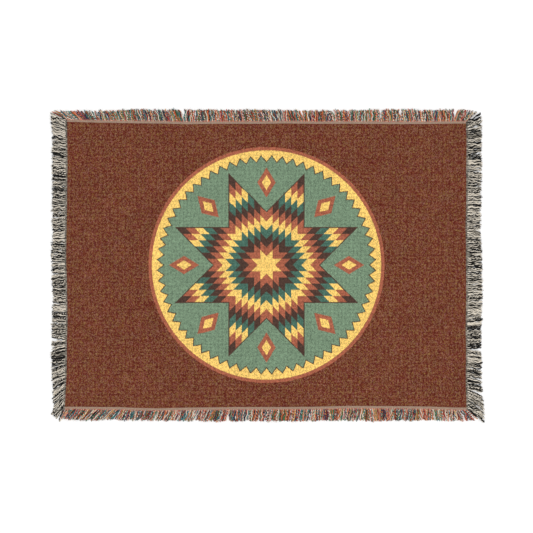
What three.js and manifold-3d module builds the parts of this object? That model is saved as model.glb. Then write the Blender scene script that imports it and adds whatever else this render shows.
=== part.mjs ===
import * as THREE from "three";
import { mergeVertices } from "three/addons/utils/BufferGeometryUtils.js";
import Module from "manifold-3d";

// A woven throw with fringe on all four sides, lying face up on a floor.
// Millimetres, +X along the long side, +Y towards the top edge, +Z up.

// Driving sizes
const CLOTH_WIDTH = 1220;
const CLOTH_HEIGHT = 864;
const CLOTH_THICKNESS = 2.2;
const BACKING_THICKNESS = 2;
const SEAM_GAP = 0.3;
const HEADING_WIDTH = 9;
const SELVEDGE_WIDTH = 5.5;
const LONG_SIDE_LOCKS = 86;
const SHORT_SIDE_LOCKS = 62;

// A lock narrows to this share at its top, its tips are cut this unevenly, and its sweep grows by this power.
const LOCK_CROWN = 0.68;
const TIP_SPREAD = 0.07;
const SWEEP_POWER = 1.4;

// Finish of the yarns
const PANEL_COLOR = "#744332";
const WARP_END_COLOR = "#8f7465";
const WEFT_END_COLOR = "#807a6f";
const YARN_ROUGHNESS = 0.95;

// Large odd numbers that make the scatter of the tips repeatable but uneven
const SCATTER_STEP = 12.9898;
const SCATTER_GAIN = 43758.5453;

// Rings of one lock, from its root inside the backing to its cut tip.
// step: share of the free length, fill: share of the room beside its neighbours, height: in mm
const LOCK_RINGS = [
  { step: -0.06, fill: 0.84, height: 1.6 },
  { step: 0.35, fill: 0.9, height: 2.1 },
  { step: 0.74, fill: 0.9, height: 1.9 },
  { step: 1, fill: 0.74, height: 1.2 },
];

// Each side has a row for each place where its edge or its fringe changes.
// along: place on the side from its middle, edge: how far the cloth bulges past its nominal edge,
// reach: from the cloth to the tips, sway: how far the tips are swept along the side
const COLUMNS = ["along", "edge", "reach", "sway"];

// The long sides run along +X.
const TOP_ROWS = [
  [-610, 5.5, 32, -44],
  [-565, 4.5, 36, -25],
  [-520, 3, 37, -15],
  [-450, 2, 40, -13],
  [-390, 1, 44, -5],
  [-310, 0, 44, -11],
  [-258, -1.5, 46, -9],
  [-247, -2, 46, 0],
  [-160, -0.5, 45, -2],
  [-20, -0.5, 44, -11],
  [60, 0.5, 42, -3],
  [110, 0, 42, -9],
  [145, -0.5, 42, 1],
  [200, -0.5, 42, -9],
  [290, -0.5, 43, 1],
  [420, -1.5, 46, -7],
  [500, -1, 44, -6],
  [566, 0, 45, 2],
  [578, 0, 45, 13],
  [610, 0.5, 42, 33],
];

const BOTTOM_ROWS = [
  [-610, 1, 36, -13],
  [-580, 1, 41, -20],
  [-540, 1.5, 43, -27],
  [-480, 2, 41, -26],
  [-440, 2.5, 40, -20],
  [-400, 4.5, 40, -9],
  [-330, 6, 39, -12],
  [-230, 3.5, 42, -13],
  [-160, 3, 44, -14],
  [-120, 2.5, 45, -10],
  [-108, 2, 45, -3],
  [-30, 2, 44, -3],
  [50, 2, 45, -6],
  [145, 1, 45, -2],
  [250, -1.5, 46.5, -6],
  [340, -1, 46.5, 3],
  [430, -0.5, 45, -3],
  [500, 0.5, 43, 2],
  [572, 3.5, 43, 8],
  [588, 3.5, 42, 18],
  [610, 3.5, 37, 34],
];

// The short sides run along +Y.
const LEFT_ROWS = [
  [-432, 6, 24, -46],
  [-412, 5, 34, -41],
  [-395, 4, 38, -32],
  [-370, 2.5, 42, -22],
  [-335, 1, 47, -14],
  [-300, 0, 48, -9],
  [-240, 0, 48, -6],
  [-226, 0, 48, 4],
  [-180, -2, 48, 3],
  [-60, -0.5, 46, -2],
  [25, 2, 47, 0],
  [180, -0.5, 47, 0],
  [300, -2, 48, 5],
  [365, -1.5, 48, 8],
  [400, -1, 49, 16],
  [432, -1, 50, 33],
];

const RIGHT_ROWS = [
  [-432, 1, 54, -48],
  [-405, 0.5, 53, -30],
  [-386, -1, 52, -22],
  [-372, -1, 51, -8],
  [-330, -1, 50, -10],
  [-264, -0.5, 48, -6],
  [-250, -0.5, 48, 4],
  [-200, -1.5, 50, 0],
  [-188, -1.5, 50, 6],
  [-100, 0, 51, 2],
  [0, -0.5, 51, 0],
  [60, -0.5, 48, 2],
  [120, -2, 46, -2],
  [180, 0, 47, 0],
  [270, 0.5, 48, 3],
  [284, -0.5, 49, -3],
  [325, 0.5, 48, 0],
  [340, 1, 47, 8],
  [395, 1, 48, 2],
  [409, 0, 50, 10],
  [420, -0.5, 51, 24],
  [432, -0.5, 49, 42],
];

const wasm = await Module();
wasm.setup();

// A repeatable number between -0.5 and 0.5 for each count.
function scatter(count) {
  const wave = Math.sin(count * SCATTER_STEP) * SCATTER_GAIN;
  return wave - Math.floor(wave) - 0.5;
}

function namedRows(rows) {
  return rows.map((row) => Object.fromEntries(COLUMNS.map((column, i) => [column, row[i]])));
}

// The value of one column at a place on the side, in a straight line between two rows.
function valueAt(rows, column, along) {
  const next = rows.findIndex((row) => row.along >= along);
  if (next === 0) {
    return rows[0][column];
  }
  if (next < 0) {
    return rows.at(-1)[column];
  }
  const before = rows[next - 1];
  const after = rows[next];
  const share = (along - before.along) / (after.along - before.along);
  return THREE.MathUtils.lerp(before[column], after[column], share);
}

// A long side carries a heading and warp ends, facing the top (1) or the bottom (-1).
function longSide(rows, facing, seed) {
  return {
    rows: namedRows(rows),
    length: CLOTH_WIDTH,
    distance: CLOTH_HEIGHT / 2,
    backing: HEADING_WIDTH,
    locks: LONG_SIDE_LOCKS,
    along: new THREE.Vector2(1, 0),
    outward: new THREE.Vector2(0, facing),
    seed,
  };
}

// A short side carries a selvedge strip and weft ends, facing right (1) or left (-1).
function shortSide(rows, facing, seed) {
  return {
    rows: namedRows(rows),
    length: CLOTH_HEIGHT,
    distance: CLOTH_WIDTH / 2,
    backing: SELVEDGE_WIDTH,
    locks: SHORT_SIDE_LOCKS,
    along: new THREE.Vector2(0, 1),
    outward: new THREE.Vector2(facing, 0),
    seed,
  };
}

// Each side scatters its tips from a seed of its own.
const TOP = longSide(TOP_ROWS, 1, 100);
const BOTTOM = longSide(BOTTOM_ROWS, -1, 200);
const LEFT = shortSide(LEFT_ROWS, -1, 300);
const RIGHT = shortSide(RIGHT_ROWS, 1, 400);

// A point of the plan, from its place along a side and its distance past the nominal edge.
function planPoint(side, along, past) {
  return new THREE.Vector2()
    .addScaledVector(side.along, along)
    .addScaledVector(side.outward, side.distance + past);
}

// Where a side starts and finishes: at each corner it takes in the neighbour's bulge.
function cornerSpan(side) {
  const [low, high] = side.outward.x === 0 ? [LEFT, RIGHT] : [BOTTOM, TOP];
  const end = side.outward.x + side.outward.y > 0 ? -1 : 0;
  return {
    start: -side.length / 2 - low.rows.at(end).edge,
    finish: side.length / 2 + high.rows.at(end).edge,
  };
}

// The cloth's edge on one side, as points from its start corner to its finish corner.
function edgePoints(side, past) {
  const { start, finish } = cornerSpan(side);
  const inner = side.rows.slice(1, -1);
  return [
    planPoint(side, start, side.rows[0].edge + past),
    ...inner.map((row) => planPoint(side, row.along, row.edge + past)),
    planPoint(side, finish, side.rows.at(-1).edge + past),
  ];
}

function slab(points, thickness) {
  const shape = new THREE.Shape(points);
  return new THREE.ExtrudeGeometry(shape, { depth: thickness, bevelEnabled: false });
}

function solidOf(geometry) {
  const bare = geometry.clone();
  bare.deleteAttribute("normal");
  bare.deleteAttribute("uv");
  const merged = mergeVertices(bare);
  return new wasm.Manifold(
    new wasm.Mesh({
      numProp: 3,
      vertProperties: merged.attributes.position.array,
      triVerts: new Uint32Array(merged.index.array),
    }),
  );
}

function geometryOf(solid) {
  const mesh = solid.getMesh();
  const geometry = new THREE.BufferGeometry();
  geometry.setAttribute("position", new THREE.BufferAttribute(mesh.vertProperties, 3));
  geometry.setIndex(new THREE.BufferAttribute(mesh.triVerts, 1));
  geometry.computeVertexNormals();
  return geometry;
}

// A closed four-sided strand through its rings, with both ends capped.
function strandGeometry(rings, flipped) {
  const sides = 4;
  const positions = rings.flat().flatMap((point) => point.toArray());
  const triangles = [];
  const quad = (a, b, c, d) => triangles.push([a, b, c], [a, c, d]);
  for (let ring = 0; ring < rings.length - 1; ring += 1) {
    const near = ring * sides;
    const far = near + sides;
    for (let corner = 0; corner < sides; corner += 1) {
      const next = (corner + 1) % sides;
      quad(near + corner, near + next, far + next, far + corner);
    }
  }
  const last = (rings.length - 1) * sides;
  quad(3, 2, 1, 0);
  quad(last, last + 1, last + 2, last + 3);
  const index = triangles.flatMap(([a, b, c]) => (flipped ? [a, c, b] : [a, b, c]));
  const geometry = new THREE.BufferGeometry();
  geometry.setAttribute("position", new THREE.Float32BufferAttribute(positions, 3));
  geometry.setIndex(index);
  return geometry;
}

// The middle line of each lock on a side.
function lockLines(side) {
  const pitch = side.length / side.locks;
  return Array.from({ length: side.locks }, (_, i) => {
    const along = (i + 0.5) * pitch - side.length / 2;
    const reach = valueAt(side.rows, "reach", along) * (1 + TIP_SPREAD * scatter(i + side.seed));
    return {
      along,
      root: valueAt(side.rows, "edge", along) + side.backing,
      free: reach - side.backing,
      sway: valueAt(side.rows, "sway", along),
    };
  });
}

function swept(line, step) {
  return line.along + line.sway * Math.max(step, 0) ** SWEEP_POWER;
}

// One lock: a strand with a flat underside, as wide as its nearer neighbour leaves room for.
function lockGeometry(side, lines, i) {
  const line = lines[i];
  const neighbours = [lines[i - 1], lines[i + 1]].filter(Boolean);
  const rings = LOCK_RINGS.map(({ step, fill, height }) => {
    const middle = swept(line, step);
    const room = Math.min(...neighbours.map((other) => Math.abs(swept(other, step) - middle)));
    const half = (Math.min(room, side.length / side.locks) * fill) / 2;
    const past = line.root + line.free * step;
    const at = (shift, z) => {
      const { x, y } = planPoint(side, middle + shift, past);
      return new THREE.Vector3(x, y, z);
    };
    return [
      at(-half, 0),
      at(half, 0),
      at(half * LOCK_CROWN, height),
      at(-half * LOCK_CROWN, height),
    ];
  });
  const flipped = side.along.cross(side.outward) > 0;
  return strandGeometry(rings, flipped);
}

function yarn(color) {
  return new THREE.MeshStandardMaterial({ color, roughness: YARN_ROUGHNESS, metalness: 0 });
}

function makePanel() {
  const outline = [
    ...edgePoints(TOP, 0).reverse(),
    ...edgePoints(LEFT, 0).reverse().slice(1),
    ...edgePoints(BOTTOM, 0).slice(1),
    ...edgePoints(RIGHT, 0).slice(1, -1),
  ];
  const mesh = new THREE.Mesh(slab(outline, CLOTH_THICKNESS), yarn(PANEL_COLOR));
  mesh.name = "woven_panel";
  return mesh;
}

function makeFringe(side, name, color) {
  const outline = [...edgePoints(side, SEAM_GAP), ...edgePoints(side, side.backing).reverse()];
  const lines = lockLines(side);
  const solid = lines.reduce(
    (joined, _, i) => joined.add(solidOf(lockGeometry(side, lines, i))),
    solidOf(slab(outline, BACKING_THICKNESS)),
  );
  const mesh = new THREE.Mesh(geometryOf(solid), yarn(color));
  mesh.name = name;
  return mesh;
}

const throwCloth = new THREE.Group();
throwCloth.add(
  makePanel(),
  makeFringe(TOP, "fringe_top", WARP_END_COLOR),
  makeFringe(BOTTOM, "fringe_bottom", WARP_END_COLOR),
  makeFringe(LEFT, "fringe_left", WEFT_END_COLOR),
  makeFringe(RIGHT, "fringe_right", WEFT_END_COLOR),
);

// The origin is on the floor, below the middle of the whole outline.
const middle = new THREE.Box3().setFromObject(throwCloth).getCenter(new THREE.Vector3());
throwCloth.position.set(-middle.x, -middle.y, 0);

export default throwCloth;
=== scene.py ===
"""Looks of a woven throw that lies face up, with a cut fringe on all four sides."""

import logging
import math
from collections.abc import Callable
from dataclasses import dataclass, field
from enum import Enum
from typing import NamedTuple

import bpy
import numpy as np
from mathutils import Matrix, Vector


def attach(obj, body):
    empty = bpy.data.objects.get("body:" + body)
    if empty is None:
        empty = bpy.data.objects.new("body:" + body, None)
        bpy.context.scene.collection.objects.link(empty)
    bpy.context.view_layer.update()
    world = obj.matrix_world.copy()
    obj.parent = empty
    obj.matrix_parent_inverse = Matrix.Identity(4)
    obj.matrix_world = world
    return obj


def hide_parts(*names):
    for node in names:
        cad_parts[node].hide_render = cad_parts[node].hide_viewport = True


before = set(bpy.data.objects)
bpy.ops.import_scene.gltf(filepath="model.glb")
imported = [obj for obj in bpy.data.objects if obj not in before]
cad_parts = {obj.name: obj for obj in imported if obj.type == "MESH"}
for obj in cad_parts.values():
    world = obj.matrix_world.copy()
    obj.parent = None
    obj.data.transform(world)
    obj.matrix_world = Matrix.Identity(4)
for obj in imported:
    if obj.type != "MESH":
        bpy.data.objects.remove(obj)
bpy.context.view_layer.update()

LOG = logging.getLogger("throw")
MM = 0.001
BODY = "root"
CLOTH_MIDDLE = np.array((-2.3, 1.1)) * MM
IMAGE_SIDE_PX = 533
MM_PER_PX = 3.056
SRGB_KNEE = 0.04045
SRGB_SLOPE = 12.92
SRGB_OFFSET = 0.055
SRGB_POWER = 2.4

Colour = tuple[float, float, float, float]
Socket = bpy.types.NodeSocket


def linear(srgb: tuple[int, int, int]) -> Colour:
    """Turn a colour of 0 to 255 as seen on a screen into scene-linear RGBA.

    Args:
        srgb: Red, green and blue from 0 to 255.

    Returns:
        The linear colour with an alpha of 1.
    """
    shares = np.asarray(srgb, float) / 255
    low = shares / SRGB_SLOPE
    high = ((shares + SRGB_OFFSET) / (1 + SRGB_OFFSET)) ** SRGB_POWER
    red, green, blue = np.where(shares <= SRGB_KNEE, low, high)
    return (float(red), float(green), float(blue), 1.0)


def eased(share: np.ndarray) -> np.ndarray:
    """A share held between 0 and 1 that starts and ends gently."""
    share = np.clip(share, 0, 1)
    return share * share * (3 - 2 * share)


class Side(Enum):
    """The four edges of the cloth, each with the way that it faces."""

    TOP = (0.0, 1.0)
    BOTTOM = (0.0, -1.0)
    LEFT = (-1.0, 0.0)
    RIGHT = (1.0, 0.0)

    @property
    def outward(self) -> np.ndarray:
        """The way out of the cloth."""
        return np.array(self.value)

    @property
    def along(self) -> np.ndarray:
        """The way along the edge: +X on a long side and +Y on a short one."""
        return np.abs(self.outward[::-1])

    @property
    def label(self) -> str:
        """The side's word in the names of pieces."""
        return self.name.lower()

    def points(self, along: np.ndarray, out: np.ndarray, height: np.ndarray) -> np.ndarray:
        """Turn places by the side into points of the part's frame.

        Args:
            along: Places along the side.
            out: Distances out of the part's middle.
            height: Heights above the floor.

        Returns:
            An array of points, with three numbers in its last axis.
        """
        plan = along[..., None] * self.along + out[..., None] * self.outward
        return np.concatenate((plan, height[..., None]), axis=-1)


# Where the fringe parts, in millimetres from the middle of the side, and how wide.
PARTINGS: dict[Side, tuple[tuple[float, float], ...]] = {
    Side.TOP: ((-252, 9), (572, 11)),
    Side.BOTTOM: ((-114, 7), (590, 10)),
    Side.LEFT: ((-229, 10), (-27, 4)),
    Side.RIGHT: ((336, 4), (287, 4), (-177, 5), (-257, 6), (-342, 7), (-379, 6)),
}
# How the fringe lies: a place in millimetres from the middle of the side, its reach and its sway.
LAY: dict[Side, tuple[tuple[float, float, float], ...]] = {
    Side.TOP: (
        (-610, 32, -44), (-565, 36, -25), (-520, 37, -15), (-450, 40, -13), (-390, 44, -5),
        (-310, 44, -11), (-258, 46, -9), (-247, 46, 0), (-160, 43.5, -2), (-20, 44, -11),
        (60, 42, -3), (110, 42, -9), (145, 42, 1), (200, 42, -9), (290, 43, 1),
        (420, 47.5, -7), (500, 44, -6), (566, 45, 2), (578, 45, 13), (610, 40, 33),
    ),
    Side.BOTTOM: (
        (-610, 36, -22), (-580, 41, -21), (-540, 43, -27), (-480, 41, -26), (-440, 40, -20),
        (-400, 40, -9), (-330, 39, -12), (-230, 42, -13), (-160, 44, -14), (-120, 45, -10),
        (-108, 45, -3), (-30, 44, -3), (50, 45, -6), (145, 45, -2), (250, 46.5, -6),
        (340, 47.5, 3), (430, 46, -3), (500, 43, 2), (572, 43, 8), (588, 42, 18),
        (610, 37, 34),
    ),
    Side.LEFT: (
        (-432, 20, -46), (-424, 31, -44), (-412, 42, -43), (-395, 39.5, -34), (-370, 40, -22),
        (-335, 47, -14), (-300, 48, -9), (-240, 48, -6), (-226, 48, 4), (-180, 49.5, 3),
        (-110, 45, 0), (-60, 46, -2), (25, 47, 0), (105, 44.5, 0), (180, 47, 0),
        (300, 48, 5), (365, 48, 8), (400, 49, 16), (432, 52, 33),
    ),
    Side.RIGHT: (
        (-432, 54, -48), (-405, 55, -30), (-386, 52, -22), (-372, 51, -8), (-330, 50, -10),
        (-264, 48, -6), (-250, 48, 4), (-200, 50, 0), (-188, 50, 6), (-100, 51, 2),
        (0, 51, 0), (60, 48, 2), (120, 47.5, -2), (180, 47, 0), (270, 48, 3),
        (284, 49, -3), (325, 48, 0), (340, 47, 8), (395, 48, 2), (409, 50, 10),
        (420, 50, 22), (432, 45, 33),
    ),
}


@dataclass(frozen=True)
class ClothEdge:
    """One edge of the cloth as the panel's solid has it."""

    side: Side
    rim_share: float = 0.97

    def points(self) -> tuple[np.ndarray, np.ndarray]:
        """Read the edge from the solid.

        Returns:
            Places along the edge and distances out to it, both in metres.
        """
        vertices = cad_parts["woven_panel"].data.vertices
        plan = np.array([vertex.co.xy for vertex in vertices])
        past = plan @ self.side.outward
        rim = past > self.rim_share * past.max()
        along = (plan @ self.side.along)[rim]
        order = np.argsort(along)
        return along[order], past[rim][order]

    def span(self) -> tuple[float, float]:
        """The places along the edge of its two corners."""
        along, _ = self.points()
        return float(along[0]), float(along[-1])

    def distance(self, along: np.ndarray) -> np.ndarray:
        """How far out the edge lies at some places along it."""
        return np.interp(along, *self.points())


def by_node(operation: str) -> Callable[..., "Signal"]:
    """Make a method of Signal that adds a Math node.

    Args:
        operation: The node's operation.

    Returns:
        The method, which takes what else the node needs.
    """

    def method(self: "Signal", *others: object) -> "Signal":
        """Put the signal, and what goes with it, into the node."""
        return self.sketch.math(operation, self, *others)

    return method


class Signal:
    """A value that varies over a surface, with the plain signs of sums and comparisons."""

    __add__ = by_node("ADD")
    __sub__ = by_node("SUBTRACT")
    __mul__ = by_node("MULTIPLY")
    __truediv__ = by_node("DIVIDE")
    __mod__ = by_node("FLOORED_MODULO")
    __lt__ = by_node("LESS_THAN")
    __gt__ = by_node("GREATER_THAN")
    __abs__ = by_node("ABSOLUTE")
    times_plus = by_node("MULTIPLY_ADD")
    power = by_node("POWER")
    maximum = by_node("MAXIMUM")
    floor = by_node("FLOOR")
    fract = by_node("FRACT")
    pingpong = by_node("PINGPONG")
    sine = by_node("SINE")
    cosine = by_node("COSINE")
    arctan2 = by_node("ARCTAN2")

    def __init__(self, sketch: "Sketch", socket: Socket) -> None:
        """Keep the socket and the sketch that it is part of."""
        self.sketch = sketch
        self.socket = socket


class Sketch:
    """Writes a shader node tree as sums, comparisons and mixes."""

    def __init__(self, tree: bpy.types.NodeTree) -> None:
        """Keep the tree that the nodes go into."""
        self.tree = tree

    def put(self, kind: str, **settings: object) -> bpy.types.Node:
        """Add a node and set its properties.

        Args:
            kind: The node's type name.
            **settings: Properties to set on it.

        Returns:
            The new node.
        """
        node = self.tree.nodes.new(kind)
        for name, value in settings.items():
            setattr(node, name, value)
        return node

    def feed(self, socket: Socket, value: object) -> None:
        """Link a signal into an input, or set the input to a plain value."""
        if isinstance(value, Signal):
            self.tree.links.new(value.socket, socket)
        else:
            socket.default_value = value

    def take(
        self, kind: str, values: dict[int | str, object], output: int | str = 0, **settings: object
    ) -> Signal:
        """Add a node, feed it and take one of its outputs.

        Args:
            kind: The node's type name.
            values: Signals or plain values by the input's name or number.
            output: The output's name or number.
            **settings: Properties to set on the node.

        Returns:
            The output's signal.
        """
        node = self.put(kind, **settings)
        for name, value in values.items():
            self.feed(node.inputs[name], value)
        return Signal(self, node.outputs[output])

    def math(self, operation: str, *values: object) -> Signal:
        """The result of a Math node."""
        return self.take("ShaderNodeMath", dict(enumerate(values)), operation=operation)

    def mix(self, share: object, low: object, high: object, blend: str = "MIX") -> Signal:
        """Mix two colours.

        Args:
            share: How much of the second colour shows.
            low: The first colour.
            high: The second colour.
            blend: The way the two are mixed.

        Returns:
            The mixed colour.
        """
        values = {"Factor": share, 6: low, 7: high}
        return self.take("ShaderNodeMix", values, 2, data_type="RGBA", blend_type=blend)

    def dim(self, colour: Signal, share: Signal) -> Signal:
        """A colour made darker or lighter by a share that varies."""
        return self.mix(1.0, colour, self.join(share, share, share), "MULTIPLY")

    def length(self, vector: Signal) -> Signal:
        """How long a vector is."""
        return self.take("ShaderNodeVectorMath", {0: vector}, "Value", operation="LENGTH")

    def between(self, value: Signal, low: float, high: float) -> Signal:
        """A mask that is 1 where a value lies between two limits."""
        return (value > low) * (value < high)

    def span(self, value: Signal, low: float, high: float, start: float, end: float) -> Signal:
        """Map a value from one range to another and hold it there."""
        return self.take("ShaderNodeMapRange", dict(enumerate((value, low, high, start, end))))

    def vary(self, value: Signal, limits: tuple[float, float], swing: float) -> Signal:
        """A share that swings round 1 as a value runs between its limits."""
        return self.span(value, *limits, 1 - swing, 1 + swing)

    def weigh(self, first: Signal, share: float, second: Signal) -> Signal:
        """The sum of a share of one value and the rest of another."""
        return first.times_plus(share, second * (1 - share))

    def split(self, vector: Signal) -> tuple[Signal, Signal, Signal]:
        """The three numbers of a vector."""
        node = self.put("ShaderNodeSeparateXYZ")
        self.feed(node.inputs[0], vector)
        first, second, third = (Signal(self, socket) for socket in node.outputs)
        return first, second, third

    def join(self, *numbers: object) -> Signal:
        """A vector of up to three numbers."""
        return self.take("ShaderNodeCombineXYZ", dict(enumerate(numbers)))

    def noise(self, vector: Signal, scale: float, detail: float = 2.0) -> Signal:
        """Soft noise between 0 and 1."""
        values = {"Vector": vector, "Scale": scale, "Detail": detail}
        return self.take("ShaderNodeTexNoise", values, "Fac")

    def speckle(self, vector: Signal) -> Signal:
        """A number between 0 and 1 that is unlike that of any other place."""
        return self.take("ShaderNodeTexWhiteNoise", {"Vector": vector}, "Value", noise_dimensions="3D")


@dataclass
class EffectGroup:
    """A shader node group with named sockets, built once and used by several finishes."""

    name: str
    inputs: tuple[tuple[str, str], ...]
    outputs: tuple[tuple[str, str], ...]
    tree: bpy.types.NodeTree = field(init=False)
    sketch: Sketch = field(init=False)
    given: dict[str, Signal] = field(init=False)

    def __post_init__(self) -> None:
        """Make the tree and its sockets."""
        self.tree = bpy.data.node_groups.new(self.name, "ShaderNodeTree")
        self.sketch = Sketch(self.tree)
        for way, sockets in (("INPUT", self.inputs), ("OUTPUT", self.outputs)):
            for name, kind in sockets:
                self.tree.interface.new_socket(name=name, in_out=way, socket_type=kind)
        start = self.sketch.put("NodeGroupInput")
        self.given = {way.name: Signal(self.sketch, way) for way in start.outputs if way.name}

    def give(self, **results: Signal) -> None:
        """Link the group's results to its outputs by name."""
        finish = self.sketch.put("NodeGroupOutput")
        for name, signal in results.items():
            self.sketch.feed(finish.inputs[name], signal)

    def use(self, sketch: Sketch, **values: object) -> dict[str, Signal]:
        """Place the group in a material.

        Args:
            sketch: The material's own sketch.
            **values: Values or sockets for the group's inputs.

        Returns:
            The group's outputs by name.
        """
        node = sketch.put("ShaderNodeGroup", node_tree=self.tree)
        for name, value in values.items():
            sketch.feed(node.inputs[name], value)
        return {socket.name: Signal(sketch, socket) for socket in node.outputs}


FLOAT = "NodeSocketFloat"
VECTOR = "NodeSocketVector"
COLOUR = "NodeSocketColor"
TWISTS_PER_FLOAT = 4.0
TWIST_DEPTH = 0.14
DIP_POWER = 4.0
PLY_BLUR = 0.12


def make_thread_cells() -> EffectGroup:
    """Build the effect that cuts a cloth into floats, each column a step further down than the last.

    Returns:
        A group that gives each float's middle, a number of its own, and the floats' relief.
    """
    group = EffectGroup(
        "Thread Cells",
        (("Place", VECTOR), ("Width", FLOAT), ("Height", FLOAT), ("Step", FLOAT)),
        (("Middle", VECTOR), ("Own", FLOAT), ("Relief", FLOAT)),
    )
    sketch, given = group.sketch, group.given
    width, height = given["Width"], given["Height"]
    across, up, _ = sketch.split(given["Place"])
    columns = across / width
    column = columns.floor()
    step = column * given["Step"]
    rows = up / height + step
    row = rows.floor()
    half_across = column + 0.5
    half_up = row + 0.5
    middle = sketch.join(half_across * width, (half_up - step) * height)
    aside = columns - half_across
    crown = (aside * math.pi).cosine()
    endwise = rows - half_up
    outer = abs(endwise) * 2.0
    dip = sketch.math("SUBTRACT", 1.0, outer.power(DIP_POWER))
    twist = (endwise.times_plus(TWISTS_PER_FLOAT, aside) * (2 * math.pi)).sine()
    relief = crown * dip * twist.times_plus(TWIST_DEPTH, 1 - TWIST_DEPTH)
    group.give(Middle=middle, Own=sketch.speckle(sketch.join(column, row)), Relief=relief)
    return group


@dataclass(frozen=True)
class MedallionPlan:
    """Sizes of the round star medallion, in metres."""

    rim_outer: float = 0.3605
    rim_inner: float = 0.350
    ring_inner: float = 0.336
    teeth_inner: float = 0.316
    teeth: int = 64
    points: int = 8
    star_reach: float = 0.296
    diamonds: int = 6
    outline: float = 0.004
    notch_middle: float = 0.252
    notch_length: float = 0.046
    notch_width: float = 0.028
    notch_core: float = 0.5

    @property
    def sector(self) -> float:
        """The angle of one star point."""
        return 2 * math.pi / self.points

    @property
    def star_side(self) -> float:
        """The side of one star point's rhombus."""
        return self.star_reach / (2 * math.cos(self.sector / 2))


def make_medallion(plan: MedallionPlan) -> EffectGroup:
    """Build the star medallion: a rim, a ring of teeth and a star of many diamonds.

    Args:
        plan: The medallion's sizes.

    Returns:
        A group that gives the medallion's colour and a mask of where it is.
    """
    tones = ("Field", "Light", "Warm", "Dark", "Deep")
    group = EffectGroup(
        "Star Medallion",
        (("Place", VECTOR), *((tone, COLOUR) for tone in tones)),
        (("Colour", COLOUR), ("Mask", FLOAT)),
    )
    sketch, given = group.sketch, group.given
    across, up, _ = sketch.split(given["Place"])
    radius = sketch.length(given["Place"])
    angle = up.arctan2(across)

    # Each star point is a rhombus, and its two skewed coordinates count its small diamonds.
    turned = angle % plan.sector
    second = radius * turned.sine() / math.sin(plan.sector)
    first = radius * turned.cosine() - second * math.cos(plan.sector)
    farthest = first.maximum(second)
    small = plan.star_side / plan.diamonds
    turn = ("Light", "Warm", "Dark", "Deep")
    band = ((first / small).floor() + (second / small).floor()) % float(len(turn))
    star_colour = given[turn[0]]
    for number, tone in enumerate(turn[1:], start=1):
        chosen = sketch.between(band, number - 0.5, number + 0.5)
        star_colour = sketch.mix(chosen, star_colour, given[tone])
    star_edge = sketch.between(farthest, plan.star_side, plan.star_side + plan.outline)

    # Between two star points lies a small diamond with a light core.
    half = plan.sector / 2
    beside = (angle + half) % plan.sector - half
    forth = abs(radius * beside.cosine() - plan.notch_middle)
    sideways = abs(radius * beside.sine())
    spread = forth / plan.notch_length + sideways / plan.notch_width

    # The ring has teeth on its inside, cut by a triangle wave round the rim.
    wave = (angle * (plan.teeth / (2 * math.pi))).pingpong(0.5)
    depth = plan.ring_inner - plan.teeth_inner
    crest = wave.times_plus(2 * depth, plan.teeth_inner)

    colour = given["Field"]
    for mask, tone in (
        (star_edge, given["Dark"]),
        (farthest < plan.star_side, star_colour),
        (spread < 1.0, given["Warm"]),
        (spread < plan.notch_core, given["Light"]),
        (radius + plan.outline > crest, given["Dark"]),
        (radius > crest, given["Light"]),
        (radius > plan.rim_inner, given["Warm"]),
    ):
        colour = sketch.mix(mask, colour, tone)
    group.give(Colour=colour, Mask=radius < plan.rim_outer)
    return group


def make_ply_twist() -> EffectGroup:
    """Build the twist of a two-ply strand from its run: round it in U, and turns of twist in V.

    Returns:
        A group that gives the plies' height, 0 in the crease, and which of the two is up.
    """
    group = EffectGroup("Ply Twist", (("Run", VECTOR),), (("Height", FLOAT), ("Which", FLOAT)))
    sketch = group.sketch
    round_it, along, _ = sketch.split(group.given["Run"])
    wave = ((round_it + along) * (2 * math.pi)).sine()
    group.give(Height=abs(wave), Which=sketch.span(wave, -PLY_BLUR, PLY_BLUR, 0.0, 1.0))
    return group


@dataclass(frozen=True)
class Effects:
    """The node groups that the finishes share."""

    cells: EffectGroup
    medallion: EffectGroup
    twist: EffectGroup


class Finish:
    """A material with one Principled shader, dressed by its subclass."""

    name: str = "finish"
    roughness: float = 0.9
    sheen: float = 0.06
    sheen_roughness: float = 0.6
    specular: float = 0.15
    bump_depth: float = 0.4 * MM
    bump_strength: float = 0.7

    def __init__(self, effects: Effects) -> None:
        """Make the material and leave its look to dress."""
        self.effects = effects
        self.material = bpy.data.materials.new(self.name)
        self.material.use_nodes = True
        self.sketch = Sketch(self.material.node_tree)
        self.shader = self.material.node_tree.nodes["Principled BSDF"]
        plain = {
            "Roughness": self.roughness,
            "Sheen Weight": self.sheen,
            "Sheen Roughness": self.sheen_roughness,
            "Specular IOR Level": self.specular,
        }
        for name, value in plain.items():
            self.shader.inputs[name].default_value = value
        self.dress()

    def dress(self) -> None:
        """Link the look into the shader."""
        raise NotImplementedError

    def place(self, middle: np.ndarray | None = None) -> Signal:
        """Object coordinates, counted from a middle of the plan."""
        source = self.sketch.take("ShaderNodeTexCoord", {}, "Object")
        if middle is None:
            return source
        values = {"Vector": source, "Location": (-middle[0], -middle[1], 0.0)}
        return self.sketch.take("ShaderNodeMapping", values, vector_type="POINT")

    def colour(self, value: Signal) -> None:
        """Link the base colour."""
        self.sketch.feed(self.shader.inputs["Base Color"], value)

    def bump(self, height: Signal) -> None:
        """Raise the surface by a height of 0 to 1."""
        values = {"Height": height, "Strength": self.bump_strength, "Distance": self.bump_depth}
        normal = self.sketch.take("ShaderNodeBump", values, "Normal")
        self.sketch.feed(self.shader.inputs["Normal"], normal)


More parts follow.
